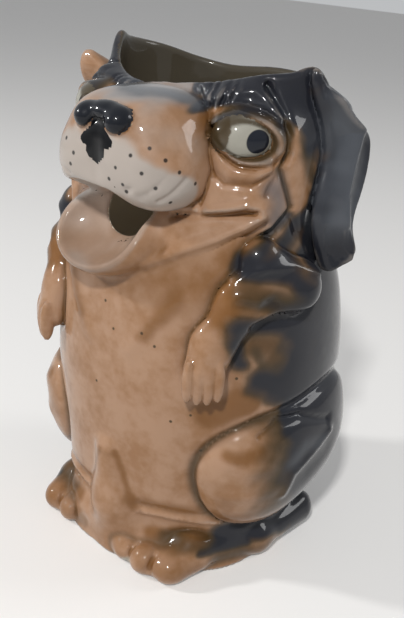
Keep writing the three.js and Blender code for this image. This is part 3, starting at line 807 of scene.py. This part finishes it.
class Board:
    """The nodes of a material, or of the room's light."""

    def __init__(self, owner):
        owner.use_nodes = True
        self.owner, self.tree = owner, owner.node_tree
        self.shader = self.tree.nodes.get("Principled BSDF") or self.tree.nodes["Background"]
        self.place = self.node("ShaderNodeTexCoord", {}, output="Object")

    def feed(self, socket, value):
        if isinstance(value, Wire):
            self.tree.links.new(value.socket, socket)
        else:
            socket.default_value = value

    def shade(self, looks):
        for socket, value in looks.items():
            self.feed(self.shader.inputs[socket], value)

    def node(self, kind, settings, *values, output=0, **named):
        made = self.tree.nodes.new(kind)
        for setting, value in settings.items():
            setattr(made, setting, value)
        for socket, value in [*enumerate(values), *named.items()]:
            self.feed(made.inputs[socket], value)
        return Wire(self, made.outputs[output])

    def noise(self, size, detail):
        """Soft noise from 0 to 1, its blots about as wide as the size in millimetres."""
        return self.node("ShaderNodeTexNoise", {}, Vector=self.place, Scale=1 / (size * mm), Detail=detail)

    def ramp(self, value, low, high):
        """Rises smoothly from 0 at the low value to 1 at the high one."""
        return self.node("ShaderNodeMapRange", {"interpolation_type": "SMOOTHSTEP"}, value, low, high)

    def mix(self, share, a, b):
        """The first colour, with so large a share of the second. A Mix node's colours are sockets 6 and 7."""
        made = self.tree.nodes.new("ShaderNodeMix")
        made.data_type = "RGBA"
        for socket, value in ((0, share), (6, a), (7, b)):
            self.feed(made.inputs[socket], value)
        return Wire(self, made.outputs[2])

    def painted(self, name):
        return self.node("ShaderNodeAttribute", {"attribute_name": name}, output="Fac")

    def in_sight(self):
        """1 where the eye sees the thing itself or its mirror image, 0 where it only lights the rest."""
        seen, mirrored, through = (
            self.node("ShaderNodeLightPath", {}, output=f"Is {kind} Ray")
            for kind in ("Camera", "Glossy", "Transmission")
        )
        return self.node("ShaderNodeMath", {"operation": "ADD", "use_clamp": True}, seen + mirrored, through)

    def away(self, place):
        """Distance in millimetres from a place given in millimetres."""
        at, settings = Vector(place) * mm, {"operation": "DISTANCE"}
        return self.node("ShaderNodeVectorMath", settings, self.place, at, output="Value") / mm


def colour(red, green, blue):
    """A colour as seen, from 0 to 255, as the renderer's light."""
    parts = [value / 255 for value in (red, green, blue)]
    return tuple(part / 12.92 if part < 0.04045 else ((part + 0.055) / 1.055) ** 2.4 for part in parts) + (1,)


pink = colour(164, 130, 104)
pink_deep = colour(144, 106, 74)
brown = colour(114, 74, 32)
umber = colour(58, 46, 26)
haze = colour(92, 96, 102)
white = colour(168, 159, 151)
smoke = colour(25, 29, 38)
smoke_pale = colour(36, 38, 44)
black = colour(9, 10, 13)
cream = colour(155, 152, 141)
eye_corner = colour(84, 74, 60)
# The inside's colours are painted shade on the wall under the rim and painted light lower down, not a glaze
# colour
inside_painted_shade = colour(68, 62, 51)
inside_painted_light = colour(210, 198, 178)
# The inside is painted shade, dark grey near the rim, and turns to painted light, pale lower down where light
# falls in from the open top, between these heights, in metres
inside_light_heights = (0.158, 0.13)
# The width in millimetres and the detail of each irregularity of the glaze
blot_noise, grain_noise, grit_noise, swell_noise = (14, 3), (3, 4), (0.8, 2), (9, 1)
speck_spacing, speck_span = 16, (0.03, 0.015)
# How high the swell and the grit stand, in millimetres, and how strongly they show
swell_height, swell_strength = 0.2, 0.5
grit_height, grit_strength = 0.04, 0.15
# How far the edges of colours stray with the blots and with the grain
blot_stray, grain_stray = 0.3, 0.2
pink_grain, pink_span = 0.4, (0.35, 0.75)
haze_least = 0.5
# Each coat: the layer it follows, how far its edge strays, the paint at which it begins and is full, its
# cover and, in the list, its colour. Thick glaze turns brown in the hollows
coats = [
    ("hollow", 0, (0.08, 0.5), 0.75, brown),
    ("white", 0.3, (0.1, 0.9), 0.95, white),
    ("tan", 0.3, (0.1, 1.0), 0.85, brown),
    ("umber", 0.2, (0.1, 0.9), 0.9, umber),
    ("smoke", 0.25, (0.02, 0.5), 0.8, umber),
]
# The smoky blue-black covers the heart of what was sprayed, and leaves umber round it
heart_coat = ("smoke", 0.25, (0.25, 0.9), 0.97)
# Thin glaze on the ridges lets the white clay through
ridge_coat = ("hollow", 0, (-0.3, -0.9), 0.3)
# The inside coat lays painted shade near the rim and painted light lower down
inside_coat = ("inside", 0, (0.4, 0.6), 1)
black_coat = ("black", 0.3, (0.4, 0.6), 1)
# The nose's black turns smoky over this much of the edges' stray
black_span = (-0.6, 0.6)


def glaze(name, trim):
    board = Board(bpy.data.materials.new(name))
    blots, grain, grit = (board.noise(*noise) for noise in (blot_noise, grain_noise, grit_noise))
    edge = (blots - 0.5) * blot_stray + (grain - 0.5) * grain_stray

    def lay(face, layer, stray, span, cover, tint):
        return board.mix(board.ramp(board.painted(layer) + edge * stray, *span) * cover, face, tint)

    face = board.mix(board.ramp(blots + (grain - 0.5) * pink_grain, *pink_span), pink, pink_deep)
    for coat in coats:
        face = lay(face, *coat)
    face = lay(face, *heart_coat, board.mix(blots, smoke, smoke_pale))
    face = board.mix(board.painted("haze") * (haze_least + blots * (1 - haze_least)), face, haze)
    face = lay(face, *ridge_coat, white)
    # The inside wall gets painted shade near the rim and painted light deeper down, where the open top lets
    # light in
    height = board.node("ShaderNodeSeparateXYZ", {}, board.place, output="Z")
    inside_light_and_shade = board.mix(board.ramp(height, *inside_light_heights), inside_painted_shade, inside_painted_light)
    face = lay(face, *inside_coat, inside_light_and_shade)
    scale = 1 / (speck_spacing * mm)
    specks = board.node("ShaderNodeTexVoronoi", {}, Vector=board.place, Scale=scale, output="Distance")
    face = board.mix(board.ramp(specks, *speck_span), face, umber)
    face = lay(face, *black_coat, black)
    if trim:
        face = trim(board, face, edge)
    swell = {"Height": board.noise(*swell_noise), "Strength": swell_strength, "Distance": swell_height * mm}
    rough = {"Height": grit, "Strength": grit_strength, "Distance": grit_height * mm}
    skin = board.node("ShaderNodeBump", {}, **swell)
    skin = board.node("ShaderNodeBump", {}, **rough, Normal=skin)
    board.shade({
        "Base Color": face, "Roughness": 0.3 + grain * 0.15, "Coat Weight": 0.75 + blots * 0.2,
        "Normal": skin, "Coat Roughness": 0.04, "Coat IOR": 1.32, "Specular IOR Level": 0.1, "IOR": 1.45,
    })
    return board.owner


# A dot's edge lies between these shares of its radius and strays by this many radii
dot_edge, dot_stray, dot_cover = (1.4, 0.6), 2, 0.9


def dots(places, radius, tint, uneven=1):
    """A trim that paints a dot at each place, with an uneven outline."""
    def trim(board, face, edge):
        for place in places:
            gap = board.away(place) + edge * uneven * radius * dot_stray
            low, high = (radius * share for share in dot_edge)
            face = board.mix(board.ramp(gap, low, high) * dot_cover, face, tint)
        return face

    return trim


def eye_trim(board, face, edge):
    """Cream white, with a blotted grey-brown corner and a dark round pupil in each eye."""
    face = cream
    for corner, pupil in eye_spots:
        gap = board.away(corner) + edge * eye_corner_stray
        face = board.mix(board.ramp(gap, *eye_corner_edge), face, eye_corner)
        face = board.mix(board.ramp(board.away(pupil) + edge * pupil_stray, *pupil_edge), face, smoke)
    return board.mix(board.ramp(board.painted("umber"), *eye_line_span) * eye_line_cover, face, umber)


def black_trim(board, face, edge):
    return board.mix(board.ramp(edge, *black_span), black, smoke)


trims = {
    "pink_glaze": dots(pinholes, pinhole_radius, umber),
    "tan_glaze": dots([chip_place], chip_radius, cream, uneven=3),
    "white_glaze": dots(whiskers, whisker_radius, black),
    "black_glaze": black_trim,
    "eye_glaze": eye_trim,
    "smoke_glaze": None,
}
glazes = {slot: glaze(slot, trim) for slot, trim in trims.items()}

# The firing
# The clay is joined into one skin, hollowed, trimmed level, and turned into the pieces' meshes. Pieces that
# meet share the points of their seam, so the glaze runs over it without a break.
bore_edge = 2.2
floor_edge = 0.8
floor_round = 8
throat_blend = 2
# The grid's step across, and where each span of its height begins with its step: finest over face and feet
grid_step = 0.9
height_spans = [(-3.6, 0.9), (16, 1.6), (64, 1.2), (92, 1.4), (110, 0.75), (181, 0.75)]
# Every fourth place is worked out first, and then all places that may be near the skin
sparse = 4
sparse_safety = 1.3
batch = 300000
# Points are moved onto the skin in small steps. Its slope and hollows are read this far to each side
settling_times = 2
settling_reach, settling_most = 0.2, 0.6
shading_reach = 0.15
hollow_reach, hollow_gain = 1.2, 0.5
order = list(clay)
vessel = [order.index(name) for name in ("foot_base", "belly_shell", "head_shell")]


def distances(p):
    """The distance of each point from each piece's form, a row for each piece."""
    table = np.full((len(order), len(p)), far, real)
    for row, piece in enumerate(clay.values()):
        near = np.all((p > piece["low"]) & (p < piece["high"]), axis=1)
        if near.any():
            table[row, near] = piece["form"](p[near])
    return table


def hollows(p):
    bore = carve(barrel(p, wall), p[:, 2] - floor_thickness, floor_round)
    return smooth(bore, trough(p), throat_blend)


def skin(p):
    """Distance from the surface of the whole jug."""
    table = distances(p)
    total = table[vessel].min(axis=0)
    for row, piece in enumerate(clay.values()):
        if row in vessel:
            continue
        other = table[row]
        line = bump(total - other, piece["score_width"], piece["score"]) if piece["score"] else 0
        total = smooth(total, other, piece["blend"]) + line
    total = carve(total, hollows(p), bore_edge)
    return carve(total, p[:, 2], floor_edge)


def in_parts(work, p):
    return np.concatenate([work(p[start:start + batch]) for start in range(0, len(p), batch)], axis=-1)


def spots_of(cells):
    """The places of the grid's points, from their numbers along its three axes."""
    return np.stack([axis[cells[:, k]] for k, axis in enumerate(axes)], axis=1)


def labels(p):
    """Which piece each point inside the clay belongs to, from 1."""
    table = distances(p)
    table[vessel] = np.where(table[vessel] < 0, table[vessel] - far, table[vessel])
    row = table.argmin(axis=0)
    in_vessel = np.isin(row, vessel)
    plate = p[:, 2] < floor_thickness
    body = np.where(p[:, 2] < neck_height, vessel[1], vessel[2])
    return np.where(in_vessel, np.where(plate, vessel[0], body), row).astype(np.int16) + 1


low = np.min([piece["low"] for piece in clay.values()], axis=0)
high = np.max([piece["high"] for piece in clay.values()], axis=0)
heights = [np.arange(a, b, step) for (a, step), (b, _) in zip(height_spans, height_spans[1:])]
axes = [np.arange(low[k], high[k], grid_step).astype(real) for k in range(2)]
axes.append(np.concatenate(heights).astype(real))
counts = [len(axis) for axis in axes]
thin = [np.unique(np.r_[np.arange(0, count, sparse), count - 1]) for count in counts]
thin_axes = [axis[kept] for axis, kept in zip(axes, thin)]
places = np.stack(np.meshgrid(*thin_axes, indexing="ij"), axis=-1).reshape(-1, 3)
grid = in_parts(skin, places).reshape([len(axis) for axis in thin_axes])
for number, (axis, kept) in enumerate(zip(axes, thin_axes)):
    row = np.clip(np.searchsorted(kept, axis, side="right") - 1, 0, len(kept) - 2)
    share = (axis - kept[row]) / (kept[row + 1] - kept[row])
    share = share.reshape([-1 if k == number else 1 for k in range(3)])
    grid = np.take(grid, row, number) * (1 - share) + np.take(grid, row + 1, number) * share
widest = max(grid_step, *(step for _, step in height_spans))
close = np.argwhere(np.abs(grid) < sparse_safety * sparse * widest)
grid[tuple(close.T)] = in_parts(skin, spots_of(close))
inside = np.argwhere(grid < 0)
label = np.zeros(counts, np.int16)
label[tuple(inside.T)] = in_parts(labels, spots_of(inside))

# Each cell that the skin or a seam crosses gets one point, in the middle of the crossings on its edges
cells = tuple(count - 1 for count in counts)
outer_sum, inner_sum = np.zeros(cells + (3,), real), np.zeros(cells + (3,), real)
outer_count, inner_count = np.zeros(cells, np.int16), np.zeros(cells, np.int16)
crossings = []
for number in range(3):
    first, second = [slice(None)] * 3, [slice(None)] * 3
    first[number], second[number] = slice(0, -1), slice(1, None)
    first, second = tuple(first), tuple(second)
    a, b = label[first], label[second]
    edges = np.argwhere(a != b)
    here, there = a[tuple(edges.T)], b[tuple(edges.T)]
    outer = (here == 0) | (there == 0)
    near, next_to = grid[first][tuple(edges.T)], grid[second][tuple(edges.T)]
    share = np.where(outer, near / np.where(near == next_to, 1, near - next_to), 0.5).clip(0, 1)
    spot = spots_of(edges)
    spot[:, number] += share * np.diff(axes[number])[edges[:, number]]
    across = [(number + 1) % 3, (number + 2) % 3]
    corners = []
    for back_one, back_two in ((1, 1), (0, 1), (0, 0), (1, 0)):
        cell = edges.copy()
        cell[:, across[0]] -= back_one
        cell[:, across[1]] -= back_two
        corners.append(cell)
        for kind, total, count in ((outer, outer_sum, outer_count), (~outer, inner_sum, inner_count)):
            np.add.at(total, tuple(cell[kind].T), spot[kind])
            np.add.at(count, tuple(cell[kind].T), 1)
    crossings.append((here, there, corners))

used = (outer_count + inner_count) > 0
number_of = np.full(cells, -1)
number_of[used] = np.arange(used.sum())
on_skin = outer_count[used] > 0
points = np.where(
    on_skin[:, None],
    outer_sum[used] / np.maximum(outer_count[used], 1)[:, None],
    inner_sum[used] / np.maximum(inner_count[used], 1)[:, None],
).astype(real)


def slope(p, reach):
    steps = np.eye(3, dtype=real) * reach
    rises = [in_parts(skin, p + step) - in_parts(skin, p - step) for step in steps]
    return np.stack(rises, axis=1) / (2 * reach)


surface = points[on_skin]
for _ in range(settling_times):
    rise = slope(surface, settling_reach)
    steep = np.linalg.norm(rise, axis=1) + tiny
    step = np.clip(in_parts(skin, surface) / steep, -settling_most, settling_most)
    surface = surface - rise / steep[:, None] * step[:, None]
points[on_skin] = surface
normals = np.zeros_like(points)
rise = slope(surface, shading_reach)
normals[on_skin] = rise / (np.linalg.norm(rise, axis=1, keepdims=True) + tiny)

steps = np.eye(3, dtype=real) * hollow_reach
around = [in_parts(skin, surface + sign * step) for step in steps for sign in (1, -1)]
bend = sum(around) - len(around) * in_parts(skin, surface)
hollow = np.zeros(len(points), real)
hollow[on_skin] = np.clip(-bend / hollow_reach ** 2 * hollow_gain, -1, 1)

# The colours are laid on the points, pass by pass
layers = ("white", "tan", "umber", "smoke", "haze", "black")
paint = {layer: np.zeros(len(points), real) for layer in (*layers, "inside")}
foot_band = 0.8
inside_margin = 0.8
# The sprays stray by a fourteenth of their radius, along waves that cross each other
stray_part = 14
wave_lines = np.array([[1, 0.6, -0.7], [-0.5, 1, 0.8], [0.7, -0.9, 1]], real)
wave_pitch, ripple_pitch, ripple_share = 0.42, 2.3, 0.5
# A seam is painted less dark than it is deep, up to a limit
seam_share, seam_most = 0.6, 0.8
# The underside is wiped clean of glaze, or the jug would stick to the kiln's shelf
spray("bare", lambda p: p[:, 2], foot_band, 1, 0.3)
spray("white", lambda p: p[:, 2], foot_band, 0.8, 0.3)

waves = points @ (wave_lines * real(wave_pitch))
drift = np.sin(waves) + ripple_share * np.sin(waves[:, [1, 2, 0]] * real(ripple_pitch) + 1)
for layer, line, radius, strength, soft, both in sprays:
    if callable(line):
        gap = np.abs(in_parts(line, points)) / radius
    else:
        spots = points + drift * real(radius / stray_part)
        spots = on_left(spots) if both else spots
        gap = (near_course(unroll(spots), line) if len(line[0]) == 2 else near_line(spots, line)) / radius
    share = np.clip((1 - gap) / soft, 0, 1)
    share = strength * share * share * (3 - 2 * share)
    if layer == "bare":
        for name in layers:
            paint[name] *= 1 - share
    else:
        paint[layer] = 1 - (1 - paint[layer]) * (1 - share)
table = in_parts(distances, points)
for row, piece in enumerate(clay.values()):
    if piece["score"]:
        gap = table[vessel].min(axis=0) - table[row]
        seam = bump(gap, piece["score_width"], min(seam_share * piece["score"], seam_most))
        seam *= table[row] < far / 4
        paint["umber"] = 1 - (1 - paint["umber"]) * (1 - seam)
# The inner wall, which takes painted shade and painted light instead of the sprayed colours
paint["inside"] = (barrel(points) < inside_margin - wall).astype(real)
for layer in layers:
    paint[layer] *= 1 - paint["inside"]

quads = {row + 1: [] for row in range(len(order))}
for here, there, corners in crossings:
    corner_numbers = np.stack([number_of[tuple(cell.T)] for cell in corners], axis=1)
    for row in quads:
        quads[row] += [corner_numbers[here == row], corner_numbers[there == row][:, ::-1]]

for row, name in enumerate(order):
    piece = clay[name]
    faces = np.concatenate(quads[row + 1])
    kept, faces = np.unique(faces, return_inverse=True)
    faces = faces.reshape(-1, 4)
    mesh = bpy.data.meshes.new(name)
    mesh.from_pydata((points[kept] * mm).tolist(), [], faces.tolist())
    mesh.polygons.foreach_set("use_smooth", np.ones(len(faces), bool))
    mesh.normals_split_custom_set_from_vertices(normals[kept].tolist())
    for layer, values in (*paint.items(), ("hollow", hollow)):
        mesh.attributes.new(layer, "FLOAT", "POINT").data.foreach_set("value", values[kept].copy())
    mesh.materials.append(glazes[piece["slot"]])
    made = bpy.data.objects.new(f"{name}_glazed", mesh)
    scene.collection.objects.link(made)
    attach(made, "root")
    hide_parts(name)

# The studio
# A plain pale floor and room under small soft lamps: one over the left, one by the far side, one behind.
floor_half = 3.0
floor_tint = colour(225, 223, 220)
# The light that the floor adds where it is seen, that the room gives, and that the room shows
floor_lift = (0.12, 0.12, 0.12, 1)
room_light = (0.234, 0.239, 0.247, 1)
room_seen = (0.5, 0.51, 0.52, 1)
floor_roughness = 0.9
floor_corners = [(x * floor_half, y * floor_half, 0) for x, y in ((-1, -1), (1, -1), (1, 1), (-1, 1))]
floor_mesh = bpy.data.meshes.new("floor")
floor_mesh.from_pydata(floor_corners, [], [(0, 1, 2, 3)])
paper = Board(bpy.data.materials.new("floor_paper"))
paper.shade({
    "Base Color": floor_tint, "Roughness": floor_roughness, "Emission Strength": 1.0,
    "Emission Color": paper.mix(paper.in_sight(), (0, 0, 0, 1), floor_lift),
})
floor_mesh.materials.append(paper.owner)
floor = bpy.data.objects.new("floor", floor_mesh)
scene.collection.objects.link(floor)

scene.world = bpy.data.worlds.new("room")
room = Board(scene.world)
room.shade({"Color": room.mix(room.in_sight(), room_light, room_seen), "Strength": 1.0})

# Each lamp's place and width in metres, and its watts
lamps = {
    "key": ((0.35, -0.75, 0.85), 0.08, 8.3),
    "window": ((-0.7, -0.5, 0.55), 0.08, 4.2),
    "rear": ((0.6, 0.6, 0.6), 0.3, 2.0),
}
for name, (place, width, watts) in lamps.items():
    lamp = bpy.data.lights.new(name, "AREA")
    lamp.energy = watts
    lamp.size = width
    stand = bpy.data.objects.new(name, lamp)
    stand.location = place
    stand.rotation_euler = (looked_at - Vector(place)).to_track_quat("-Z", "Y").to_euler()
    scene.collection.objects.link(stand)

scene.view_settings.view_transform = "Standard"
